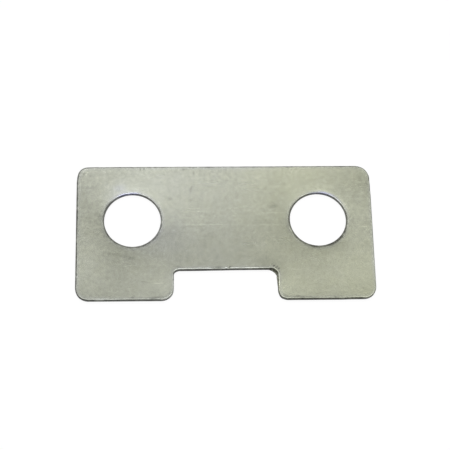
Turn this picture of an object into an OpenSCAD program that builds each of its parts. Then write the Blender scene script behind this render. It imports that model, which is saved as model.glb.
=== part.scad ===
// Flat steel shim with two bolt holes and a notch in its front edge.
// The notch opens towards -Y, the sheet lies on the plane z = 0, and its origin is the middle of the plate.

/* [Sheet] */
// Length of the plate, left to right
plate_l = 110; // [96:0.5:140]
// Width of the plate, front to back
plate_w = 53.1; // [44:0.1:75]
// Thickness of the sheet
plate_t = 1.5; // [1.2:0.05:3]

/* [Outer corners] */
// Radius of the back left corner
back_left_r = 4.7; // [2:0.1:8]
// Radius of the back right corner, rounded more than the others
back_right_r = 5.9; // [2:0.1:8]
// Radius of the front left corner
front_left_r = 5.1; // [2:0.1:8]
// Radius of the front right corner
front_right_r = 4.7; // [2:0.1:8]

/* [Notch] */
// Width of the notch between its side walls
notch_w = 38; // [30:0.1:48]
// Depth of the notch from the front edge
notch_depth = 11.8; // [9.5:0.1:15]
// Radius of the left lip, where the notch meets the front edge
lip_left_r = 4.7; // [2:0.1:5]
// Radius of the right lip
lip_right_r = 3.7; // [2:0.1:5]
// Radius of the left inner corner
inner_left_r = 2.2; // [1.6:0.1:4]
// Radius of the right inner corner, at the upper face
inner_right_r = 2.5; // [1.6:0.1:3]
// Radius of the right inner corner at the underside, where the cut left a heel of metal standing
heel_r = 4.1; // [3.5:0.1:5]
// Depth below the upper face at which the heel begins
heel_depth = 0.5; // [0.5:0.05:0.9]

/* [Bolt holes] */
// Diameter of the two bolt holes
hole_d = 21; // [16:0.1:26]
// Distance between the centres of the holes
hole_spacing = 69; // [62:0.1:84]
// Distance from the back edge to the centres of the holes
hole_from_back = 21.65; // [15:0.05:27]
// How far the pair of holes sits to the right of the middle
hole_shift = 0.3; // [-2:0.1:2]

/* [Edges] */
// Width of the rolled rim of the upper face, along the outline
edge_roll_w = 0.6; // [0.4:0.05:0.8]
// Depth of the rolled rim, along the outline
edge_roll_d = 0.33; // [0.15:0.01:0.4]
// Width of the rolled rim round the holes
hole_roll_w = 0.7; // [0.5:0.05:0.9]
// Depth of the rolled rim round the holes
hole_roll_d = 0.4; // [0.2:0.01:0.45]
// Slope, in degrees, at which a rolled rim leaves the flat face
roll_lead = 3; // [2:0.5:6]
// Size of the small break on the lower edges
under_break = 0.12; // [0.05:0.01:0.2]

/* [Hidden] */
$fn = 96;
steel = "#B2B4A5";
// How far a cutting shape reaches past the faces that it cuts
over = 0.4;
// How far the rolled rim's cutter reaches down the wall, and the heel's cone into it, so that both cross it
bite = 0.02;
notch_top_y = notch_depth - plate_w / 2;
hole_y = plate_w / 2 - hole_from_back;
heel_h = plate_t - heel_depth;

// Corners of the outline as [x, y, radius], counter-clockwise from the back right.
// The right inner corner has one radius at the upper face and another at the underside.
function outline_corners(right_r) = [
    [plate_l / 2, plate_w / 2, back_right_r],
    [-plate_l / 2, plate_w / 2, back_left_r],
    [-plate_l / 2, -plate_w / 2, front_left_r],
    [-notch_w / 2, -plate_w / 2, lip_left_r],
    [-notch_w / 2, notch_top_y, inner_left_r],
    [notch_w / 2, notch_top_y, right_r],
    [notch_w / 2, -plate_w / 2, lip_right_r],
    [plate_l / 2, -plate_w / 2, front_right_r]
];

function point(corner) = [corner.x, corner.y];
function heading(from, to) = (point(to) - point(from)) / norm(point(to) - point(from));
function angle_of(direction) = atan2(direction.y, direction.x);

// Each corner with the headings of the runs that lead into it and out of it
function outline_turns(corners) = let (n = len(corners)) [
    for (i = [0 : n - 1]) [
        corners[i],
        heading(corners[(i + n - 1) % n], corners[i]),
        heading(corners[i], corners[(i + 1) % n])
    ]
];

// True where the outline turns outwards round the sheet, false inside the notch
function is_convex(turn) = cross(turn[1], turn[2]) > 0;
function arc_centre(turn) = point(turn[0]) + turn[0].z * (turn[2] - turn[1]);
function run_start(turn) = point(turn[0]) + turn[0].z * turn[2];
function run_end(turn) = point(turn[0]) - turn[0].z * turn[1];

// Puts a shape at the centre of a corner's arc, turned so that the arc runs from 0 to 90 degrees
module at_corner(turn) {
    translate(arc_centre(turn))
        rotate(angle_of(turn[1]) - (is_convex(turn) ? 90 : 0))
            children();
}

// What a round takes off a square corner, or adds inside one
module spandrel(r) {
    difference() {
        square(r);
        circle(r);
    }
}

module outline_shape(turns) {
    difference() {
        polygon([for (turn = turns) point(turn[0])]);
        for (turn = turns)
            if (is_convex(turn))
                at_corner(turn) spandrel(turn[0].z);
    }
    for (turn = turns)
        if (!is_convex(turn))
            at_corner(turn) spandrel(turn[0].z);
}

// Sweeps a flat profile once round the outline: its x points out of the sheet and its y points up
module sweep_outline(turns) {
    n = len(turns);
    for (i = [0 : n - 1]) {
        turn = turns[i];
        next = turns[(i + 1) % n];
        r = turn[0].z;
        at_corner(turn)
            rotate_extrude(angle = 90)
                translate([r, 0])
                    mirror([is_convex(turn) ? 0 : 1, 0])
                        children();
        translate(run_end(next))
            rotate([90, 0, angle_of(turn[2]) - 90])
                linear_extrude(norm(run_end(next) - run_start(turn)))
                    children();
    }
}

// Profile of what the rolled rim takes off the upper edge, with the wall at x = 0.
// The rim is an arc that leaves the flat face at the lead slope and meets the wall at the given depth.
module roll_profile(w, d) {
    wall_slope = 2 * atan(d / w) - roll_lead;
    r = w / (sin(wall_slope) - sin(roll_lead));
    arc_x = -w - r * sin(roll_lead);
    arc_y = plate_t - r * cos(roll_lead);
    difference() {
        translate([arc_x, plate_t - d - bite])
            square([over - arc_x, d + bite + over]);
        translate([arc_x, arc_y])
            circle(r);
    }
}

// Profile of what the small break takes off the lower edge
module break_profile() {
    polygon([
        [-under_break - over, -over],
        [over, -over],
        [over, under_break + over]
    ]);
}

// Radius of the heel's cone at a height. It rounds the corner to heel_r at the underside, and at heel_h
// it reaches the middle of the corner's own arc, where the heel runs out.
function heel_radius(z) = let (
    foot_r = heel_r + bite,
    top_r = heel_r + (sqrt(2) - 1) * (heel_r - inner_right_r)
) foot_r + (top_r - foot_r) * z / heel_h;

// Metal left standing low in the right inner corner of the notch
module notch_heel() {
    translate([notch_w / 2 - heel_r, notch_top_y - heel_r, 0])
        difference() {
            cube([heel_r + over, heel_r + over, plate_t]);
            translate([0, 0, -over])
                cylinder(
                    h = plate_t + 2 * over,
                    r1 = heel_radius(-over),
                    r2 = heel_radius(plate_t + over)
                );
        }
}

module bolt_hole() {
    translate([0, 0, -over])
        cylinder(h = plate_t + 2 * over, d = hole_d);
    rotate_extrude()
        translate([hole_d / 2, 0])
            mirror([1, 0]) {
                roll_profile(hole_roll_w, hole_roll_d);
                break_profile();
            }
}

module shim_plate() {
    upper_turns = outline_turns(outline_corners(inner_right_r));
    lower_turns = outline_turns(outline_corners(heel_r));
    color(steel)
        difference() {
            union() {
                linear_extrude(plate_t) outline_shape(upper_turns);
                notch_heel();
            }
            sweep_outline(upper_turns) roll_profile(edge_roll_w, edge_roll_d);
            sweep_outline(lower_turns) break_profile();
            for (side = [-1, 1])
                translate([hole_shift + side * hole_spacing / 2, hole_y, 0])
                    bolt_hole();
        }
}

shim_plate();
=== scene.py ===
import math
from collections import namedtuple

import bmesh
import bpy
import numpy as np
from mathutils import Euler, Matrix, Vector, noise
from mathutils.geometry import delaunay_2d_cdt


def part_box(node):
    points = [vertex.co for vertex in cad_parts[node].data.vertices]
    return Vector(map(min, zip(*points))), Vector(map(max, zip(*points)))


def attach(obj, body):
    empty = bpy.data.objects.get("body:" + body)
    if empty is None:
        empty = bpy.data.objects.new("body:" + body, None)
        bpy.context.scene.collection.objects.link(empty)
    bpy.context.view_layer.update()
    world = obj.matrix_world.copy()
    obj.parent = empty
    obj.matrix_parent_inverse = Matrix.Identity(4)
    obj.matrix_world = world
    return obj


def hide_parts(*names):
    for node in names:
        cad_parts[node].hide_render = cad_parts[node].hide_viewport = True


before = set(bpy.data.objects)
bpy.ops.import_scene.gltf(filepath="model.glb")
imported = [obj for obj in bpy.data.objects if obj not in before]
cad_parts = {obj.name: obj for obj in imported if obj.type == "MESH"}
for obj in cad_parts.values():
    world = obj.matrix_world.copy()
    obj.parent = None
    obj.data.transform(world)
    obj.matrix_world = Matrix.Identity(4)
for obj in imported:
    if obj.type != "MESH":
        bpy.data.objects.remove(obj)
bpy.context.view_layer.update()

NODE = "shim_plate"
MM = 0.001
WHITE = (1, 1, 1, 1)


def put_in_scene(name, data):
    """A new object with the given data, linked to the scene."""
    made = bpy.data.objects.new(name, data)
    bpy.context.scene.collection.objects.link(made)
    return made


# Camera at the photo's viewing angle: place in metres, turn in degrees, lens and sensor in millimetres
CAMERA_PLACE = (-0.02271, -0.21097, 0.52414)
CAMERA_TURN = (22.2593, -1.99849, -1.21904)
CAMERA_LENS = 121.949
CAMERA_SENSOR = 36.0

camera_data = bpy.data.cameras.new("camera")
camera_data.lens = CAMERA_LENS
camera_data.sensor_width = CAMERA_SENSOR
camera = put_in_scene("camera", camera_data)
camera.location = CAMERA_PLACE
camera.rotation_euler = Euler([math.radians(turn) for turn in CAMERA_TURN])
bpy.context.scene.camera = camera
bpy.context.scene.view_settings.view_transform = "Standard"

# Sizes of the plate, as in part.scad
low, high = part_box(NODE)
plate_l = (high.x - low.x) / MM
plate_w = (high.y - low.y) / MM
plate_t = (high.z - low.z) / MM
NOTCH_W = 38.0
NOTCH_DEPTH = 11.8
HEEL_R = 4.1
HEEL_DEPTH = 0.5
# A thin foot, which part.scad leaves out, tapers off from the heel along the notch's right wall: distance
# from the notch's top, and reach
FOOT = ((2.5, 0.40), (3.1, 0.43), (3.7, 0.34), (5.3, 0.18), (6.6, 0.07), (7.2, 0.0))
HOLE_R = 10.5
HOLE_SPACING = 69.0
HOLE_FROM_BACK = 21.65
HOLE_SHIFT = 0.3
UNDER_BREAK = 0.12
notch_top_y = NOTCH_DEPTH - plate_w / 2
hole_y = plate_w / 2 - HOLE_FROM_BACK
HOLE_XS = (HOLE_SHIFT - HOLE_SPACING / 2, HOLE_SHIFT + HOLE_SPACING / 2)

# Steps of the mesh
RUN_STEP = 0.35
CORNER_STEPS = 26
HOLE_STEPS = 200
FACE_STEP = 1.0
ROLL_RINGS = 8
WALL_RINGS = 7
# Width of the narrow flat ring that keeps the shading of a face even up to its edge
HOLD = 0.12
# Angle between two faces from which the edge between them is shaded sharp
SHARP_ANGLE = math.radians(30)
# Gap below which the triangulation takes two points as one
CLOSE = 1e-6

# Corners, counter-clockwise from the back right, each with its radius and the run that follows it
CORNERS = (
    (plate_l / 2, plate_w / 2, 5.9, "back right", "back"),
    (-plate_l / 2, plate_w / 2, 4.7, "back left", "left"),
    (-plate_l / 2, -plate_w / 2, 5.1, "front left", "left lip"),
    (-NOTCH_W / 2, -plate_w / 2, 4.7, "left lip's corner", "notch left"),
    (-NOTCH_W / 2, notch_top_y, 2.2, "inner left", "notch top"),
    (NOTCH_W / 2, notch_top_y, 2.5, "inner right", "notch right"),
    (NOTCH_W / 2, -plate_w / 2, 3.7, "right lip's corner", "right lip"),
    (plate_l / 2, -plate_w / 2, 4.7, "front right", "right"),
)
# Place in that table of the corner with the heel
HEEL_CORNER = 5
# Rims by corner and run: width and depth of the roll, the slope in degrees at which it leaves the face, how
# bright its upper part is worn and painted with a highlight, how dark its steep part is painted with shade,
# the share of the turn at which that shade starts, and how patchy it is
RIMS = {
    "back right": (0.50, 0.26, 14, 0.0, 0.55, 0.0, 0.50),
    "back": (0.50, 0.28, 18, 0.0, 0.42, -0.1, 0.75),
    "back left": (0.80, 0.38, 14, 0.0, 0.50, -0.2, 0.20),
    "left": (0.65, 0.38, 4, 0.15, 0.85, -0.15, 0.26),
    "front left": (0.62, 0.34, 3, 0.00, 1.00, 0.25, 0.35),
    "left lip": (0.60, 0.34, 3, 0.05, 1.20, 0.30, 0.55),
    "left lip's corner": (0.55, 0.30, 3, 0.20, 0.50, 0.35, 0.35),
    "notch left": (0.50, 0.26, 4, 0.38, 0.00, 0.30, 0.35),
    "inner left": (0.60, 0.33, 3, 0.18, 0.80, 0.35, 0.35),
    "notch top": (0.62, 0.34, 3, 0.65, 1.30, 0.34, 0.35),
    "inner right": (0.76, 0.42, 3, 0.32, 0.96, 0.20, 0.35),
    "notch right": (0.66, 0.40, 4, 0.40, 1.10, 0.30, 0.35),
    "right lip's corner": (0.64, 0.34, 3, 0.05, 1.00, 0.25, 0.35),
    "right lip": (0.62, 0.34, 3, 0.00, 1.20, 0.14, 0.35),
    "front right": (0.52, 0.28, 3, 0.40, 0.60, 0.30, 0.35),
    "right": (0.45, 0.20, 6, 0.15, 0.35, 0.30, 0.25),
}
# Length over which one rim turns into the next
RIM_BLEND = 1.4


def rise(value, start, end):
    """Smooth step from 0 to 1 as value goes from start to end."""
    share = np.clip((value - start) / (end - start), 0, 1)
    return share * share * (3 - 2 * share)


def uneven(points, wave, layer):
    """Even noise between -1 and 1 at plan points, with its own layer number."""
    return np.array([noise.noise(Vector((x / wave, y / wave, layer))) for x, y in points])


def heading(start, end):
    """Unit vector from one plan point to another."""
    return (end - start) / np.linalg.norm(end - start)


class Loop:
    """One closed edge of the plate: its points, the directions into the metal and the look of its rim."""

    def __init__(self, points, inward, rims):
        self.points = np.array(points)
        self.inward = np.array(inward)
        self.rims = np.array(rims)
        gaps = np.linalg.norm(np.roll(self.points, -1, axis=0) - self.points, axis=1)
        self.gaps = gaps
        self.along = np.concatenate([[0.0], np.cumsum(gaps)[:-1]])
        self.length = gaps.sum()

    def soften_rims(self, reach):
        """Averages the rims' values along the loop, weighted by length."""
        apart = np.abs(self.along[:, None] - self.along[None, :])
        apart = np.minimum(apart, self.length - apart)
        weights = np.clip(1 - apart / reach, 0, None) * self.gaps[None, :]
        self.rims = weights @ self.rims / weights.sum(axis=1, keepdims=True)

    def stray(self, rows):
        """Moves the points near the given places, and keeps them inside the plate's box."""
        moved = self.points.copy()
        for x, y, reach, *shift in rows:
            away = np.hypot(self.points[:, 0] - x, self.points[:, 1] - y)
            moved += rise(reach - away, 0, reach)[:, None] * np.array(shift)
        half = np.array([plate_l, plate_w]) / 2
        self.points = np.clip(moved, -half, half)


# Where the cut strays from its drawn line: middle, reach, and how far the edge lies off in x and y
STRAYS = (
    (-17.5, -14.75, 7.0, 0.0, -0.22),
    (-10.5, -14.75, 7.0, 0.0, -0.20),
    (-3.5, -14.75, 7.0, 0.0, -0.11),
    (3.5, -14.75, 7.0, 0.0, -0.02),
    (-18.6, -15.4, 1.5, -0.10, 0.06),
    (-19.0, -15.8, 2.0, -0.10, 0.0),
    (-19.0, -19.5, 3.0, -0.07, 0.0),
    (-19.0, -22.3, 2.6, -0.10, 0.0),
    (20.1, -25.6, 1.8, -0.10, -0.11),
    (46.5, -26.5, 5.0, 0.0, 0.08),
    (51.0, -26.5, 4.5, 0.0, 0.10),
    (-53.2, -25.2, 3.5, -0.06, -0.08),
    (-52.8, 25.95, 3.0, -0.09, 0.15),
    (-54.8, 22.6, 2.4, 0.17, 0.0),
    (53.0, 25.3, 3.6, 0.11, 0.14),
    (55.0, 20.3, 2.4, -0.16, 0.0),
    (55.0, 17.0, 3.0, -0.09, 0.0),
)


def outline_loop():
    """The plate's outline with its notch, counter-clockwise."""
    points, inward, rims = [], [], []
    for i, (x, y, r, corner_rim, run_rim) in enumerate(CORNERS):
        before_x, before_y, *_ = CORNERS[i - 1]
        after_x, after_y, after_r, *_ = CORNERS[(i + 1) % len(CORNERS)]
        before = np.array([before_x, before_y])
        corner = np.array([x, y])
        after = np.array([after_x, after_y])
        heading_in = heading(before, corner)
        heading_out = heading(corner, after)
        turn_side = heading_in[0] * heading_out[1] - heading_in[1] * heading_out[0]
        centre = corner + r * (heading_out - heading_in)
        for k in range(CORNER_STEPS):
            angle = k / CORNER_STEPS * math.pi / 2
            spoke = math.cos(angle) * -heading_out + math.sin(angle) * heading_in
            points.append(centre + r * spoke)
            inward.append(-turn_side * spoke)
            rims.append(RIMS[corner_rim])
        start = corner + r * heading_out
        end = after - after_r * heading_out
        steps = max(2, round(np.linalg.norm(end - start) / RUN_STEP))
        side = np.array([-heading_out[1], heading_out[0]])
        for k in range(steps):
            points.append(start + (end - start) * k / steps)
            inward.append(side)
            rims.append(RIMS[run_rim])
    loop = Loop(points, inward, rims)
    loop.soften_rims(RIM_BLEND)
    loop.stray(STRAYS)
    return loop


# Rims of the left and the right hole by direction, in degrees from +X, with the same values
HOLE_RIMS = (
    (
        (10, 0.66, 0.38, 12, 0.0, 0.38, -0.10, 0.35),
        (35, 0.58, 0.35, 6, 0.3, 0.62, 0.15, 0.35),
        (60, 0.55, 0.34, 3, 0.2, 0.88, 0.30, 0.35),
        (78, 0.56, 0.34, 3, 0.4, 0.92, 0.42, 0.35),
        (95, 0.58, 0.34, 3, 1.0, 0.98, 0.50, 0.35),
        (135, 0.72, 0.37, 3, 0.1, 0.88, 0.15, 0.35),
        (160, 0.72, 0.38, 12, 0.0, 0.56, -0.10, 0.35),
        (178, 0.73, 0.39, 13, 0.0, 0.60, -0.15, 0.30),
        (205, 0.79, 0.41, 14, 0.0, 0.84, -0.20, 0.25),
        (235, 0.88, 0.43, 16, 0.0, 0.88, -0.25, 0.25),
        (270, 0.95, 0.45, 18, 0.0, 0.57, -0.30, 0.35),
        (315, 0.95, 0.45, 18, 0.0, 0.80, -0.35, 0.35),
    ),
    (
        (5, 0.70, 0.40, 10, 0.2, 0.66, -0.05, 0.35),
        (50, 0.60, 0.36, 3, 0.7, 0.88, 0.42, 0.35),
        (90, 0.42, 0.28, 3, 0.3, 0.78, 0.40, 0.35),
        (120, 0.50, 0.31, 3, 0.3, 1.10, 0.30, 0.35),
        (150, 0.66, 0.37, 8, 0.1, 0.66, 0.10, 0.35),
        (180, 0.80, 0.42, 14, 0.0, 0.56, -0.20, 0.35),
        (200, 0.85, 0.44, 15, 0.0, 0.52, -0.25, 0.35),
        (235, 0.95, 0.47, 17, 0.0, 0.86, -0.35, 0.35),
        (280, 1.00, 0.48, 18, 0.0, 0.68, -0.40, 0.35),
        (317, 0.95, 0.46, 18, 0.0, 0.90, -0.45, 0.35),
    ),
)
# How many values a rim has
RIM_VALUES = 7


def hole_loop(x, table):
    """A hole's edge, with the rims of its table blended by direction."""
    points, inward, rims = [], [], []
    angles = [row[0] for row in table]
    for k in range(HOLE_STEPS):
        # Clockwise, so that the metal lies to the left as on the outline
        angle = -2 * math.pi * k / HOLE_STEPS
        spoke = np.array([math.cos(angle), math.sin(angle)])
        points.append(np.array([x, hole_y]) + HOLE_R * spoke)
        inward.append(spoke)
        degrees = math.degrees(angle) % 360
        rims.append([
            np.interp(degrees, angles, [row[c] for row in table], period=360)
            for c in range(1, RIM_VALUES + 1)
        ])
    return Loop(points, inward, rims)


# Unevenness of the rolled rim along its loop: share of its size, and length of the longer and shorter waves
RIM_UNEVEN = 0.16
RIM_WAVES = (4.0, 1.3)
# How patchy a rim's wear and painted highlight are along its loop, and the length of the patches
WEAR_AND_HIGHLIGHT_PATCHY = 1.1
PATCH_WAVE = 1.4
# Nicks and other places where a rim differs from its run: middle, reach, and change of size, of wear with
# painted highlight, and of painted shade
SPOTS = (
    (-55.0, 10.0, 0.9, 0.3, 0.6, -0.5),
    (-55.0, -1.2, 0.8, 0.3, 0.6, -0.4),
    (-55.0, -5.1, 0.8, 0.2, 0.5, -0.2),
    (-55.0, -10.6, 1.0, 0.2, 0.45, -0.05),
    (-55.0, -14.9, 1.0, 0.2, 0.45, -0.05),
    (-55.0, -17.0, 0.9, 0.3, 0.6, -0.4),
    (-55.0, 7.3, 1.8, 0.0, 0.0, 0.3),
    (-55.0, -3.1, 1.6, 0.0, 0.0, -0.35),
    (-55.0, 20.0, 4.0, 0.0, 0.1, -0.25),
    (-54.2, 24.0, 2.6, 0.0, 0.0, 0.15),
    (-50.6, 26.4, 3.2, 0.1, 0.3, -0.35),
    (-45.1, 26.5, 1.0, 0.2, 0.2, -0.5),
    (-37.0, 26.5, 4.0, 0.1, 0.0, 0.35),
    (-26.5, 26.5, 2.5, 0.1, 0.0, 0.35),
    (-19.5, 26.5, 2.5, 0.1, 0.1, -0.7),
    (-10.0, 26.5, 4.5, 0.0, 0.1, -0.50),
    (3.8, 26.5, 3.0, 0.0, 0.1, -0.20),
    (13.0, 26.5, 7.0, 0.1, 0.0, 0.12),
    (24.5, 26.5, 3.4, 0.1, 0.0, 0.45),
    (31.8, 26.5, 2.6, 0.0, 0.0, -0.50),
    (37.3, 26.5, 1.6, 0.1, 0.0, 0.40),
    (44.2, 26.5, 2.4, 0.1, 0.0, 0.60),
    (-46.3, -26.5, 3.2, 0.0, 0.2, -0.9),
    (-41.0, -26.5, 5.0, 0.0, 0.2, 0.0),
    (-34.5, -26.5, 2.5, -0.1, -0.4, 0.0),
    (-24.0, -26.5, 4.5, 0.0, 0.0, -0.08),
    (-19.3, -23.4, 2.4, 0.0, 0.2, -0.40),
    (-19.0, -18.7, 0.8, 0.0, -0.4, 0.60),
    (-3.0, -14.7, 2.7, -0.15, -1.0, 0.0),
    (0.1, -14.7, 0.7, 0.2, 0.0, 0.0),
    (1.2, -14.7, 0.8, -0.4, -0.9, -0.5),
    (-11.5, -14.7, 8.0, 0.2, -0.40, -0.1),
    (10.0, -14.7, 6.0, 0.0, -0.10, 0.2),
    (15.8, -14.7, 2.0, 0.0, -0.25, 0.0),
    (19.0, -17.0, 0.8, -0.1, 0.3, -0.5),
    (53.2, -25.0, 2.2, 0.0, 0.0, 0.3),
)
# Torn lower part of the wall: its depth, the share of the way down at which it begins, and its waves' length
TEAR_DEPTH = 0.05
TEAR_START = 0.55
TEAR_WAVE = 0.8
# Shares of the rim's turn between which it turns bright, with wear and a painted highlight, and loses that
# again, and over which it turns dark with painted shade
RIM_BRIGHT = (0.0, 0.12)
RIM_BRIGHT_END = (0.25, 0.5)
RIM_DARKENS = 0.45
# Slope, in degrees, from which a rim leaves the face at a crisp edge, and the ring that this edge is
CRISP_LEAD = 8
CRISP_RING = 2
# Width of the strip of face next to a rim that takes on the rim's cleaner colour
RIM_FADE = 1.0
# How dark the lower break is
BREAK_DARK = 0.7
# How much lighter than a sheared wall the heel's torn metal is, how patchy, and the length of the patches
HEEL_LIGHTER = 0.60
HEEL_PATCHY = 2.6
HEEL_WAVE = 0.7
# How far the heel has to stand out of the wall to look torn
HEEL_EDGE = 0.2
# Layers of the noise: how far apart for two loops, where the patches of wear with painted highlight and of
# painted shade are, and how far the torn wall's and the heel's noise moves on down the wall
LOOP_LAYERS = 10.0
WEAR_AND_HIGHLIGHT_LAYER = 2.5
DARK_LAYER = 4.5
TEAR_LAYERS = 7
HEEL_LAYERS = 3
# The punch left the metal a little raised round each hole: height of that collar, and how far it reaches
COLLAR_RISE = 0.05
COLLAR_REACH = 2.0
# Slight waves of the sheet: depth, length and layer of the noise
WAVE_DEPTH = 0.02
WAVE_LENGTH = 26.0
WAVE_LAYER = 3.0


def dip(x, y):
    """How far the upper face lies below its highest level at a plan point. It never stands proud of it."""
    depth = WAVE_DEPTH * (1 + noise.noise(Vector((x / WAVE_LENGTH, y / WAVE_LENGTH, WAVE_LAYER)))) / 2
    collar = 0.0
    for hole_x in HOLE_XS:
        gap = max(0.0, math.hypot(x - hole_x, y - hole_y) - HOLE_R)
        collar += math.exp(-gap / COLLAR_REACH)
    return depth + COLLAR_RISE * (1 - min(1.0, collar))


def heel_reach(loop, z):
    """How far the heel stands out of the wall at each point of the outline, at height z."""
    heel_h = plate_t - HEEL_DEPTH
    reach = np.zeros(len(loop.points))
    if z >= heel_h:
        return reach
    _, _, upper_r, *_ = CORNERS[HEEL_CORNER]
    radius = HEEL_R + (math.sqrt(2) - 1) * (HEEL_R - upper_r) * z / heel_h
    centre = np.array([NOTCH_W / 2 - HEEL_R, notch_top_y - HEEL_R])
    for i, (point, inward) in enumerate(zip(loop.points, loop.inward)):
        offset = point - centre
        if (offset < 0).any() or (offset > HEEL_R + HOLD).any():
            continue
        along = -inward @ offset
        inside = along * along - (offset @ offset - radius * radius)
        if offset @ offset > radius * radius and inside > 0:
            reach[i] = max(0.0, -along - math.sqrt(inside))
    on_wall = np.abs(loop.points[:, 0] - NOTCH_W / 2) < CLOSE
    down_wall = notch_top_y - loop.points[:, 1]
    foot = np.interp(down_wall, *zip(*FOOT), left=0.0, right=0.0) * (1 - z / heel_h)
    return np.where(on_wall, np.maximum(reach, foot), reach)


def spot_changes(loop):
    """Changes of the rim's size, of its wear with painted highlight, and of its painted shade at each point
    of the loop.
    """
    changes = np.zeros((3, len(loop.points)))
    for x, y, reach, *values in SPOTS:
        away = np.hypot(loop.points[:, 0] - x, loop.points[:, 1] - y)
        changes += np.array(values)[:, None] * rise(reach - away, 0, reach)
    return changes


def rings_of(loop, has_heel, layer):
    """Rings from the upper face down: plan points, heights, and the values of the mesh's layers."""
    wobble = 1 + RIM_UNEVEN * sum(uneven(loop.points, wave, layer + wave) for wave in RIM_WAVES)
    width = loop.rims[:, 0] * wobble
    depth = loop.rims[:, 1] * wobble
    lead = np.radians(loop.rims[:, 2])
    wear_and_highlight, dark, dark_from, dark_patchy = loop.rims[:, 3:].T
    rings = []

    def ring(inset, z, bright=0.0, sheared_and_shade=0.0, rim=1.0):
        plan = loop.points + loop.inward * np.broadcast_to(inset, width.shape)[:, None]
        rings.append((plan, *(np.broadcast_to(value, width.shape) for value in (z, bright, sheared_and_shade, rim))))

    def heel_at(z):
        return heel_reach(loop, z) if has_heel else np.zeros(len(loop.points))

    larger, brighter, darker = spot_changes(loop)
    width, depth = width * (1 + larger), depth * (1 + larger)
    wear_and_highlight_patches = uneven(loop.points, PATCH_WAVE, layer + WEAR_AND_HIGHLIGHT_LAYER)
    dark_patches = uneven(loop.points, PATCH_WAVE, layer + DARK_LAYER)
    wear_and_highlight = np.clip((wear_and_highlight + brighter) * (1 + WEAR_AND_HIGHLIGHT_PATCHY * wear_and_highlight_patches), 0, 1)
    dark = np.clip(dark + darker + dark_patchy * dark_patches, 0, 1)
    # The rolled rim, from the strip of face beside it to the wall
    wall_slope = 2 * np.arctan(depth / width) - lead
    r = width / (np.sin(wall_slope) - np.sin(lead))
    ring(width + HOLD + RIM_FADE, plate_t, rim=0.0)
    ring(width + HOLD, plate_t)
    for k in range(ROLL_RINGS + 1):
        share = k / ROLL_RINGS
        slope = lead + (wall_slope - lead) * share
        inset = width - r * (np.sin(slope) - np.sin(lead))
        z = plate_t - r * (np.cos(lead) - np.cos(slope))
        # Painted highlight, with the wear, on the rim's upper turn, and painted shade on its steep turn
        bright = wear_and_highlight * rise(share, *RIM_BRIGHT) * (1 - rise(share, *RIM_BRIGHT_END))
        ring(inset, z, bright, dark * rise(share, dark_from, dark_from + RIM_DARKENS))
    # The wall, torn in its lower part
    wall_top = plate_t - depth
    for k in range(1, WALL_RINGS + 1):
        share = k / WALL_RINGS
        z = wall_top + (UNDER_BREAK - wall_top) * share
        torn = np.clip((share - TEAR_START) / (1 - TEAR_START), 0, 1) * math.sin(math.pi * share)
        tear = TEAR_DEPTH * torn * (1 + uneven(loop.points, TEAR_WAVE, layer + TEAR_LAYERS * share)) / 2
        heel = heel_at(float(z.mean()))
        torn_tone = 1 + HEEL_PATCHY * uneven(loop.points, HEEL_WAVE, layer + HEEL_LAYERS * share)
        ring(tear - heel, z, sheared_and_shade=1 - HEEL_LIGHTER * rise(heel, 0, HEEL_EDGE) * torn_tone)
    # The lower break, and the ring that holds the underside flat
    heel = heel_at(0.0)
    ring(UNDER_BREAK - heel, 0.0, sheared_and_shade=BREAK_DARK)
    ring(UNDER_BREAK + HOLD - heel, 0.0, rim=0.0)
    return rings


def inside_metal(point, loops, margin):
    """True if a plan point lies in the face, at least margin from the given (points, inward) loops."""
    for points, inward in loops:
        offsets = point - points
        nearest = np.argmin((offsets * offsets).sum(axis=1))
        if offsets[nearest] @ inward[nearest] < margin:
            return False
    return True


def face_grid(borders):
    """Points of a square grid that lie in the face, at least half a step from its borders."""
    return [
        (x, y)
        for x in np.arange(-plate_l / 2, plate_l / 2, FACE_STEP)
        for y in np.arange(-plate_w / 2, plate_w / 2, FACE_STEP)
        if inside_metal(np.array([x, y]), borders, FACE_STEP / 2)
    ]


def shade(mesh, crisp_edges):
    """Shades the mesh smooth, but for its sharp edges and the given ones."""
    for face in mesh.faces:
        face.smooth = True
    for edge in mesh.edges:
        edge.smooth = edge.calc_face_angle(0.0) < SHARP_ANGLE
    for ends in crisp_edges:
        mesh.edges.get(ends).smooth = False


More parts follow.
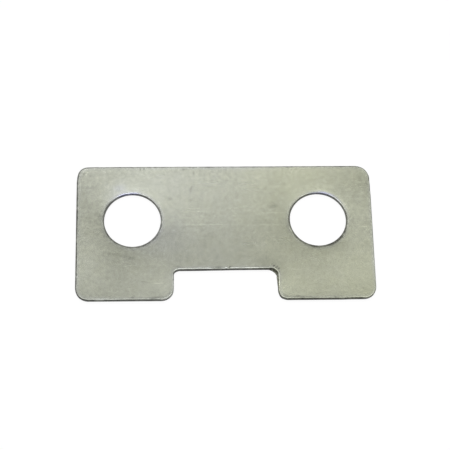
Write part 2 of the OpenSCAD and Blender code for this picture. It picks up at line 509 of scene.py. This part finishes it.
def build_plate():
    """The whole plate as one closed mesh: rims and walls ring by ring, then the two flat faces."""
    loops = [outline_loop()] + [hole_loop(x, rims) for x, rims in zip(HOLE_XS, HOLE_RIMS)]
    mesh = bmesh.new()
    # Layers of the mesh: wear with painted highlight, sheared metal with painted shade, and where the rims
    # lie
    layers = [mesh.verts.layers.float.new(name) for name in ("wear_and_highlight", "shear_and_shade", "rim")]

    def add(x, y, z, *values):
        lowered = z - dip(x, y) * z / plate_t
        vert = mesh.verts.new((x * MM, y * MM, lowered * MM))
        for vert_layer, value in zip(layers, values):
            vert[vert_layer] = value
        return vert

    top_rims, under_rims, crisp_edges = [], [], []
    for number, loop in enumerate(loops):
        rings = rings_of(loop, number == 0, LOOP_LAYERS * number)
        rows = []
        for plan, z, *values in rings:
            rows.append([add(*plan[i], z[i], *(value[i] for value in values)) for i in range(len(plan))])
        for upper, lower in zip(rows, rows[1:]):
            for i in range(len(upper)):
                j = (i + 1) % len(upper)
                mesh.faces.new((upper[i], lower[i], lower[j], upper[j]))
        for i, lead in enumerate(loop.rims[:, 2]):
            if lead > CRISP_LEAD:
                crisp = rows[CRISP_RING]
                crisp_edges.append((crisp[i], crisp[(i + 1) % len(crisp)]))
        top_rims.append((rows[0], rings[0][0], loop.inward))
        under_rims.append((rows[-1], rings[-1][0], loop.inward))
    for rims, z, up in ((top_rims, plate_t, True), (under_rims, 0.0, False)):
        borders = [(plan, inward) for _, plan, inward in rims]
        grid = face_grid(borders)
        fill_face(mesh, rims, borders, [add(x, y, z) for x, y in grid], grid, up)
    bmesh.ops.recalc_face_normals(mesh, faces=mesh.faces)
    shade(mesh, crisp_edges)
    data = bpy.data.meshes.new("shim_plate_steel")
    mesh.to_mesh(data)
    mesh.free()
    return put_in_scene("shim_plate_steel", data)


def fill_face(mesh, rims, loops, grid_verts, grid, up):
    """Triangulates the flat face between the rims' innermost rings, through the grid's points."""
    verts, places, edges = [], [], []
    for rim_verts, plan, _ in rims:
        first = len(verts)
        verts.extend(rim_verts)
        places.extend(Vector(point) for point in plan)
        edges.extend((first + i, first + (i + 1) % len(plan)) for i in range(len(plan)))
    verts.extend(grid_verts)
    places.extend(Vector(point) for point in grid)
    corner_places, _, triangles, sources, _, _ = delaunay_2d_cdt(places, edges, [], 1, CLOSE)
    for triangle in triangles:
        middle = sum((np.array(corner_places[k]) for k in triangle), np.zeros(2)) / len(triangle)
        if inside_metal(middle, loops, 0.0):
            corners = [verts[sources[k][0]] for k in triangle]
            mesh.faces.new(corners if up else corners[::-1])


# Range of values that a noise mostly keeps to, and the middle of it
NOISE_LOW = 0.3
NOISE_HIGH = 0.7
NOISE_MIDDLE = 0.5
# Detail of a noise as a rule, and of the one that outlines wander with
NOISE_DETAIL = 2.0
WANDER_DETAIL = 1.0
# Numbers of the colour sockets on a mix node
MIX_A = 6
MIX_B = 7
MIX_RESULT = 2


class Nodes:
    """A short way to write a material's nodes."""

    def __init__(self, name):
        self.material = bpy.data.materials.new(name)
        self.material.use_nodes = True
        self.tree = self.material.node_tree
        self.tree.nodes.clear()
        self.output = self.tree.nodes.new("ShaderNodeOutputMaterial")

    def add(self, kind, settings=None, **inputs):
        node = self.tree.nodes.new("ShaderNode" + kind)
        for key, value in (settings or {}).items():
            setattr(node, key, value)
        for key, value in inputs.items():
            self.put(node.inputs[key.replace("_", " ")], value)
        return node

    def put(self, socket, value):
        if isinstance(value, bpy.types.NodeSocket):
            self.tree.links.new(value, socket)
        else:
            socket.default_value = value

    def math(self, operation, *values):
        node = self.add("Math", {"operation": operation})
        for socket, value in zip(node.inputs, values):
            self.put(socket, value)
        return node.outputs[0]

    def stretch(self, vector, scale, place=(0.0, 0.0, 0.0)):
        """The vector times scale, after place is taken off."""
        node = self.add("VectorMath", {"operation": "SUBTRACT"})
        self.put(node.inputs[0], vector)
        node.inputs[1].default_value = place
        scaled = self.add("VectorMath", {"operation": "MULTIPLY"})
        self.put(scaled.inputs[0], node.outputs[0])
        scaled.inputs[1].default_value = scale
        return scaled.outputs[0]

    def noise(self, vector, detail=NOISE_DETAIL):
        node = self.add("TexNoise", {"noise_dimensions": "3D"}, Scale=1.0, Detail=detail)
        self.put(node.inputs["Vector"], vector)
        return node.outputs["Fac"]

    def layer(self, name):
        """The mesh's own layer of values with this name."""
        return self.add("Attribute", {"attribute_name": name}).outputs["Fac"]

    def wander(self, vector, often, reach):
        """The vector moved about by up to half of reach, so that outlines drawn with it aren't exact."""
        node = self.add("TexNoise", {"noise_dimensions": "3D"}, Scale=often, Detail=WANDER_DETAIL)
        self.put(node.inputs["Vector"], vector)
        away = self.stretch(node.outputs["Color"], (reach,) * 3, (NOISE_MIDDLE,) * 3)
        moved = self.add("VectorMath", {"operation": "ADD"})
        self.put(moved.inputs[0], vector)
        self.put(moved.inputs[1], away)
        return moved.outputs[0]

    def blots(self, vector, rows):
        """Sum of soft blots, each with its middle, half length, half width, turn in degrees and strength."""
        total = 0.0
        for x, y, long, wide, turn, strength in rows:
            across, up = math.cos(math.radians(turn)), math.sin(math.radians(turn))
            squares = 0.0
            for axis in ((across / long, up / long, 0.0), (-up / wide, across / wide, 0.0)):
                part = self.add("VectorMath", {"operation": "DOT_PRODUCT"})
                self.put(part.inputs[0], vector)
                part.inputs[1].default_value = axis
                middle = axis[0] * x + axis[1] * y
                away = self.math("SUBTRACT", part.outputs["Value"], middle)
                squares = self.math("MULTIPLY_ADD", away, away, squares)
            blot = self.remap(self.math("SQRT", squares), 0.0, 1.0, strength, 0.0, True)
            total = self.math("ADD", blot, total)
        return total

    def remap(self, value, from_low, from_high, to_low=0.0, to_high=1.0, smooth=False):
        node = self.add("MapRange", {"interpolation_type": "SMOOTHSTEP" if smooth else "LINEAR"})
        self.put(node.inputs["Value"], value)
        node.inputs["From Min"].default_value = from_low
        node.inputs["From Max"].default_value = from_high
        node.inputs["To Min"].default_value = to_low
        node.inputs["To Max"].default_value = to_high
        return node.outputs["Result"]

    def spread(self, value, to_low=0.0, to_high=1.0):
        """A noise, spread out from one value to another."""
        return self.remap(value, NOISE_LOW, NOISE_HIGH, to_low, to_high)

    def mix(self, share, a, b, blend="MIX"):
        node = self.add("Mix", {"data_type": "RGBA", "blend_type": blend})
        self.put(node.inputs["Factor"], share)
        self.put(node.inputs[MIX_A], a)
        self.put(node.inputs[MIX_B], b)
        return node.outputs[MIX_RESULT]


# Reflectance of the steel as it is, where it is worn bright and painted with a highlight, and where it is
# sheared dull, also used as painted shade on the walls and the rims' steep part, from dark to light
STEEL = (0.436, 0.450, 0.372, 1.0)
WORN_AND_HIGHLIGHT = (0.85, 0.87, 0.79, 1.0)
SHEARED_AND_SHADE_DARK = (0.032, 0.033, 0.028, 1.0)
SHEARED_AND_SHADE_LIGHT = (0.170, 0.173, 0.143, 1.0)
# Roughness of the steel between streaks, and how much rougher a sheared wall is
ROUGHNESS = (0.268, 0.274)
SHEARED_ROUGHER = 0.25
# Share of blue left and right of a soft change of tint, and where that change begins and ends along the plate
TINT = (1.015, 0.925)
TINT_FROM = -5.0
TINT_TO = 28.0
# Mottling: how often a millimetre along each axis, where its noise starts, and how far it changes the tone
# (in the blue clouds, the share of blue)
Mottling = namedtuple("Mottling", "often start change")
GRAIN = Mottling((0.75, 0.75, 0.75), (0, 0, 0), 0.092)
SPECKLE = Mottling((0.35, 0.35, 0.35), (40, 0, 0), 0.042)
CLOUDS = Mottling((0.09, 0.09, 0.09), (0, 0, 0), 0.020)
STREAKS = Mottling((0.05, 0.8, 0.05), (0, 0, 0), 0.010)
BLUE_CLOUDS = Mottling((0.30, 0.30, 0.30), (0, 70, 0), 0.012)
# How often a millimetre the tone of a sheared wall changes along each axis
SHEARED_GRAIN = (1.6, 1.6, 0.7)
# Heights, as shares of the plate's, between which a sheared wall turns from torn and dark to lighter, and the
# change of its noise below and above
SHEARED_BAND = (0.30, 0.70)
SHEARED_BAND_CHANGE = (-0.14, 0.03)
# Heights, as shares of the plate's, between which the marks and films of the upper face set in
UPPER_BAND = (0.1, 0.4)
# Share of the mottling that is everywhere, and the patches where there is more of it
EVEN_SHARE = 0.70
MOTTLED = (
    (-48, 0, 32, 45, 0, 0.38),
    (54, 6, 13, 24, 0, 0.40),
    (-14, 20, 16, 12, 0, 0.15),
)
# Soft lighter and darker patches of the upper face: middle, half length, half width, turn and change of tone
TONE_PATCHES = (
    (44, -13, 45, 23, 0, 0.30),
    (60, 21, 40, 17, 0, -0.24),
    (17, -30, 18, 39, 0, 0.28),
    (-52, -10, 16, 26, 0, 0.28),
    (-42, 3, 45, 33, 0, -0.30),
    (-29, 10, 32, 25, 0, 0.28),
    (31, -7, 41, 19, 0, -0.26),
    (-30, -19, 20, 17, 0, 0.17),
    (-40, 16, 13, 9, 0, 0.14),
    (16, -15, 10, 9, 0, -0.29),
    (20, 13, 10, 31, 0, -0.06),
    (-21, -21, 7, 9, 0, 0.14),
    (-46, 4, 5, 8, 0, -0.07),
    (-20, 0, 7, 8, 0, -0.07),
    (41, -6, 9, 5, 0, -0.11),
)
# Patches with a bluish film, with the change of the share of blue
FILMS = (
    (-32, 19, 37, 17, 0, 0.040),
    (-24, -1, 17, 14, 0, 0.076),
    (47, 6, 27, 20, 0, 0.030),
    (-40, 2, 28, 45, 0, -0.028),
    (-39, 14, 8, 9, 0, 0.086),
    (54, -30, 19, 20, 0, -0.044),
)
# The same film, narrow and stronger on the rims at the back of the holes, where its tint is that of a painted
# highlight, and faint along the right and back edges, and warm metal in the notch and along the left edge
RIM_FILMS_AND_HIGHLIGHT_TINT = (
    (-34.5, 15.15, 4.2, 1.1, 3, 0.68),
    (-38.0, 14.7, 2.6, 1.0, 18, 0.40),
    (-39.0, 17.8, 3.8, 2.4, 0, 0.08),
    (35.0, 15.1, 4.6, 1.1, 0, 0.62),
    (38.6, 15.0, 5.0, 1.1, -20, 0.34),
    (42.4, 12.5, 2.6, 1.0, -45, 0.14),
    (18.4, -20.5, 2.0, 7.0, 0, -0.16),
    (17.6, -15.8, 2.2, 2.2, 0, -0.10),
    (55.6, -12.0, 2.6, 17.0, 0, 0.06),
    (4.0, 27.2, 26.0, 3.4, 0, 0.07),
    (-55.4, 1.0, 2.0, 27.0, 0, -0.04),
)
# Share of blue that the rims and the face next to them have more than the rest, rubbed clean of the warm tint
RIM_CLEANER = 0.06
# Specks and smears of the upper face, painted shade and highlights beside the holes' rims and the front edge,
# and painted glints at nicks of the left edge, with the change of tone
MARKS = (
    (-12.4, 16.9, 2.6, 0.7, 78, -0.24),
    (-12.5, 12.8, 1.4, 0.8, 20, -0.18),
    (-11.2, 23.9, 1.6, 0.8, 100, -0.22),
    (-14.7, 25.4, 1.8, 0.7, 0, -0.26),
    (-20.2, 13.3, 1.7, 0.9, 0, -0.22),
    (-49.9, 23.0, 1.1, 0.9, 0, -0.20),
    (-46.6, 6.5, 1.1, 1.2, 0, -0.09),
    (-38.5, -9.2, 7.5, 1.0, -13, -0.11),
    (-42.8, -8.3, 2.0, 0.9, -10, -0.09),
    (-35.2, -10.2, 2.6, 0.8, -8, -0.07),
    (51.4, 21.5, 3.4, 2.4, 0, -0.07),
    (50.7, 18.6, 1.6, 1.1, 0, -0.10),
    (53.8, 19.4, 1.2, 2.6, 0, -0.08),
    (18.4, 10.1, 3.0, 1.1, 8, -0.22),
    (15.5, 17.4, 2.0, 1.4, 0, -0.09),
    (22.7, 19.2, 1.6, 1.0, 60, -0.11),
    # Dark strips along the front edge; those right of the notch are painted shade over the rim's lit part
    (-26.3, -25.9, 5.0, 0.9, 0, -0.22),
    (-24.2, -25.4, 3.2, 0.7, 0, -0.20),
    (-26.7, -26.0, 1.7, 0.8, 0, -0.26),
    (-31.0, -25.9, 2.6, 0.8, 0, -0.12),
    (-34.7, -25.9, 1.8, 0.8, 0, -0.20),
    (-51.6, -24.9, 3.0, 1.0, -35, -0.12),
    (31.2, -26.0, 3.6, 0.9, 0, -0.27),
    (28.0, -26.0, 1.1, 0.8, 0, -0.34),
    (39.8, -26.0, 1.0, 0.8, 0, -0.24),
    # Painted shade beside the right hole's left rim
    (23.7, 2.0, 1.8, 5.5, 8, -0.10),
    # More dark strips along the front edge, painted shade right of the notch as above
    (-33.8, -25.5, 1.3, 0.6, 0, -0.20),
    (25.0, -25.8, 8.0, 0.9, 0, -0.36),
    (21.3, -25.0, 1.7, 0.9, -15, -0.34),
    (26.4, -25.4, 2.0, 0.6, 0, -0.28),
    (40.2, -25.6, 5.0, 0.7, 0, -0.16),
    # Dark marks beside the notch's top edge
    (-17.2, -13.6, 2.6, 0.7, 0, -0.14),
    (-2.9, -14.1, 3.0, 0.8, 0, -0.26),
    # Painted shade along the right hole's lower rim
    (27.2, -1.4, 4.5, 1.7, -40, -0.24),
    (33.0, -6.0, 4.5, 1.7, -10, -0.24),
    (39.5, -4.8, 4.5, 1.7, 27, -0.28),
    (43.8, -1.0, 4.0, 1.7, 55, -0.26),
    # Painted shade along the left hole's lower rim
    (-44.0, -0.7, 4.0, 1.5, -60, -0.14),
    (-24.4, -0.7, 4.0, 1.5, 60, -0.10),
    # Painted highlights beside the right hole's upper right rim
    (44.7, 10.6, 5.0, 1.5, -60, 0.16),
    (37.5, 16.0, 4.0, 1.4, -15, 0.12),
    (-31.3, 25.4, 0.4, 1.1, 0, -0.50),
    (-29.9, 25.6, 0.4, 1.0, 0, -0.42),
    (-51.6, 23.3, 0.55, 0.5, 0, 0.50),
    (-51.0, 24.1, 0.50, 0.4, 0, 0.34),
    (-53.8, 23.2, 0.50, 0.5, 0, 0.40),
    (-52.2, 25.0, 1.50, 0.6, 40, 0.18),
    (-48.4, 25.8, 0.80, 0.4, 0, 0.24),
    (-52.3, 23.9, 0.70, 0.4, 30, -0.22),
    (-52.8, 22.7, 0.60, 0.4, 0, -0.20),
    # Painted glints at nicks of the left edge
    (-53.7, -11.5, 0.6, 1.0, 0, 0.20),
    (-53.5, -14.4, 0.7, 0.8, 0, 0.20),
    (-53.4, -16.9, 0.6, 0.9, 0, 0.16),
    # Painted highlight beside the left hole's upper right rim
    (-24.3, 11.6, 0.9, 1.3, 30, 0.18),
)
# Scratches of the upper face, ticks and dark flecks beside the notch, a bright one on its heel, and painted
# shade along a stretch of its edge, with the change of tone
SCRATCHES = (
    (-8.0, 2.87, 18.0, 0.32, 0, 0.16),
    (-10.0, 2.05, 9.0, 0.32, 0, -0.06),
    (-10.0, 9.4, 7.5, 0.32, 0, 0.14),
    (-10.0, 8.1, 7.5, 0.32, 0, 0.14),
    (-13.0, 5.6, 6.5, 0.32, 0, 0.10),
    (-24.7, -20.1, 3.0, 0.40, 0, 0.28),
    (-29.8, -19.5, 3.6, 0.34, -10, -0.24),
    (-20.7, -23.9, 0.90, 0.36, 90, -0.30),
    (-19.4, -18.8, 0.50, 0.45, 0, -0.34),
    (18.5, 7.5, 7.5, 0.34, 0, 0.14),
    (14.0, 2.6, 14.0, 0.32, 0, 0.14),
    (52.2, 1.7, 2.6, 0.34, 0, 0.16),
    (17.1, -13.0, 0.60, 0.36, 38, -0.30),
    (17.7, -13.6, 0.80, 0.40, 38, -0.66),
    (18.7, -14.1, 1.00, 0.38, 33, -0.56),
    (19.5, -14.7, 1.10, 0.36, 38, -0.46),
    (19.8, -15.9, 0.40, 0.50, 0, -0.30),
    (19.0, -16.9, 0.35, 0.50, 0, 0.70),
    (1.5, -13.9, 0.80, 0.32, 60, -0.60),
    # Painted shade that breaks the painted highlight along the notch's top edge
    (11.5, -14.95, 6.5, 0.55, 0, -0.32),
)
# How far the outlines of the soft patches and films wander, and how often a millimetre
WANDER = 3.0
WANDER_OFTEN = 0.12
# The same for specks and scratches
MARK_WANDER = 0.7
MARK_WANDER_OFTEN = 0.8
# Height of the scratches and pits of the face
BUMP_HEIGHT = 0.0000012


def steel_tone(n, place, bent, bent_little, upper, noises):
    """How bright the steel is from place to place, against its plain colour, with painted shade and
    highlights among its marks.
    """
    grain, speckle, clouds, streaks = noises
    mottling = 0.0
    for value, change in ((grain, GRAIN.change), (speckle, SPECKLE.change), (streaks, STREAKS.change)):
        mottling = n.math("ADD", n.spread(value, -change, change), mottling)
    shares = n.math("ADD", n.blots(place, MOTTLED), EVEN_SHARE)
    tone = n.math("MULTIPLY_ADD", mottling, shares, n.spread(clouds, 1 - CLOUDS.change, 1 + CLOUDS.change))
    drawn = n.math("ADD", n.blots(bent, TONE_PATCHES), n.blots(bent_little, MARKS))
    drawn = n.math("ADD", n.blots(place, SCRATCHES), drawn)
    return n.math("MULTIPLY_ADD", drawn, upper, tone)


def steel_blue(n, place, bent, along, upper, blue_clouds):
    """The steel's share of blue from place to place, against its plain colour."""
    blue = n.math("ADD", n.blots(bent, FILMS), n.blots(place, RIM_FILMS_AND_HIGHLIGHT_TINT))
    blue = n.math("MULTIPLY_ADD", blue, upper, n.remap(along, TINT_FROM, TINT_TO, *TINT, True))
    blue = n.math("ADD", blue, n.spread(blue_clouds, -BLUE_CLOUDS.change, BLUE_CLOUDS.change))
    return n.math("MULTIPLY_ADD", n.layer("rim"), RIM_CLEANER, blue)


def steel_material():
    n = Nodes("brushed_steel")
    place = n.stretch(n.add("TexCoord").outputs["Object"], (1 / MM,) * 3)
    split = n.add("SeparateXYZ")
    n.put(split.inputs[0], place)
    along, _, height = split.outputs
    upper_from, upper_to = (share * plate_t for share in UPPER_BAND)
    upper = n.remap(height, upper_from, upper_to)
    *noises, blue_clouds = (
        n.noise(n.stretch(place, kind.often, kind.start))
        for kind in (GRAIN, SPECKLE, CLOUDS, STREAKS, BLUE_CLOUDS)
    )
    grain, _, _, streaks = noises
    sheared_grain = n.noise(n.stretch(place, SHEARED_GRAIN))
    band_from, band_to = (share * plate_t for share in SHEARED_BAND)
    band = n.remap(height, band_from, band_to, *SHEARED_BAND_CHANGE, True)
    sheared_grain = n.math("ADD", sheared_grain, band)
    bent = n.wander(place, WANDER_OFTEN, WANDER)
    bent_little = n.wander(place, MARK_WANDER_OFTEN, MARK_WANDER)
    tone = steel_tone(n, place, bent, bent_little, upper, noises)
    blue = steel_blue(n, place, bent, along, upper, blue_clouds)
    # The rims' wear with painted highlight, and their sheared metal with painted shade
    wear_and_highlight = n.layer("wear_and_highlight")
    shear_and_shade = n.layer("shear_and_shade")
    sheared_and_shade = n.mix(n.spread(sheared_grain), SHEARED_AND_SHADE_DARK, SHEARED_AND_SHADE_LIGHT)
    colour = n.mix(shear_and_shade, n.mix(wear_and_highlight, STEEL, WORN_AND_HIGHLIGHT), sheared_and_shade)
    tint = n.add("CombineColor", Red=tone, Green=tone, Blue=n.math("MULTIPLY", tone, blue))
    colour = n.mix(1.0, colour, tint.outputs[0], "MULTIPLY")
    rough = n.spread(streaks, *ROUGHNESS)
    rough = n.math("MULTIPLY_ADD", shear_and_shade, SHEARED_ROUGHER, rough)
    bump = n.add("Bump", Strength=1.0, Distance=BUMP_HEIGHT, Height=grain)
    shader = n.add("BsdfPrincipled", Metallic=1.0, Base_Color=colour, Roughness=rough, Normal=bump.outputs[0])
    n.put(n.output.inputs["Surface"], shader.outputs[0])
    return n.material


plate = build_plate()
plate.data.materials.append(steel_material())
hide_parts(NODE)
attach(plate, "root")

# White table. It glows white for the camera and for what mirrors it, and the rest of it takes the shadow.
# Size in metres, strength of the glow, share of the glow, colour, and drop below the plate in metres.
FLOOR_SIZE = 6.0
FLOOR_STRENGTH = 1.03
FLOOR_GLOW = 0.9
FLOOR_COLOUR = (0.9, 0.9, 0.9, 1.0)
FLOOR_DROP = 0.00002
# Mottling of the table: how often a metre, its detail, and how far it goes towards white
FLOOR_GRAIN = 40
FLOOR_DETAIL = 3.0
FLOOR_WHITER = 0.04


def floor_material():
    n = Nodes("white_table")
    path = n.add("LightPath")
    seen = n.math("MAXIMUM", path.outputs["Is Camera Ray"], path.outputs["Is Glossy Ray"])
    seen = n.math("MAXIMUM", seen, path.outputs["Is Transmission Ray"])
    grain = n.noise(n.stretch(n.add("TexCoord").outputs["Object"], (FLOOR_GRAIN,) * 3), FLOOR_DETAIL)
    diffuse = n.add("BsdfDiffuse", Color=n.mix(n.spread(grain, 0.0, FLOOR_WHITER), FLOOR_COLOUR, WHITE))
    glow = n.add("Emission", Strength=FLOOR_STRENGTH)
    mixed = n.add("MixShader")
    shares = (n.math("MULTIPLY", seen, FLOOR_GLOW), diffuse.outputs[0], glow.outputs[0])
    for socket, value in zip(mixed.inputs, shares):
        n.put(socket, value)
    n.put(n.output.inputs["Surface"], mixed.outputs[0])
    return n.material


floor_mesh = bmesh.new()
bmesh.ops.create_grid(floor_mesh, x_segments=1, y_segments=1, size=FLOOR_SIZE / 2)
floor_data = bpy.data.meshes.new("floor")
floor_mesh.to_mesh(floor_data)
floor_mesh.free()
floor = put_in_scene("floor", floor_data)
floor.location.z = low.z - FLOOR_DROP
floor.data.materials.append(floor_material())

# Light: an even pale room with two large soft lamps, one high behind the plate and one over its front.
# Brightness of the room, and distance of the lamps from the plate's middle in metres.
ROOM_LEVEL = 0.5
LAMP_AWAY = 1.6
# Degrees from straight up towards the back, size across and along the tilt, and brightness against white
LAMPS = {
    "back softbox": (43, 2.4, 0.8, 2.5),
    "front softbox": (-6, 2.4, 0.6, 1.3),
}


def add_lamp(name, tilt, wide, deep, level):
    data = bpy.data.lights.new(name, "AREA")
    data.shape = "RECTANGLE"
    data.size = wide
    data.size_y = deep
    data.energy = level * math.pi * wide * deep
    lamp = put_in_scene(name, data)
    angle = math.radians(tilt)
    lamp.location = (0, LAMP_AWAY * math.sin(angle), LAMP_AWAY * math.cos(angle))
    lamp.rotation_euler = (-angle, 0, 0)


world = bpy.data.worlds.new("room")
bpy.context.scene.world = world
world.use_nodes = True
background = world.node_tree.nodes["Background"]
background.inputs["Color"].default_value = WHITE
background.inputs["Strength"].default_value = ROOM_LEVEL
for name, lamp in LAMPS.items():
    add_lamp(name, *lamp)
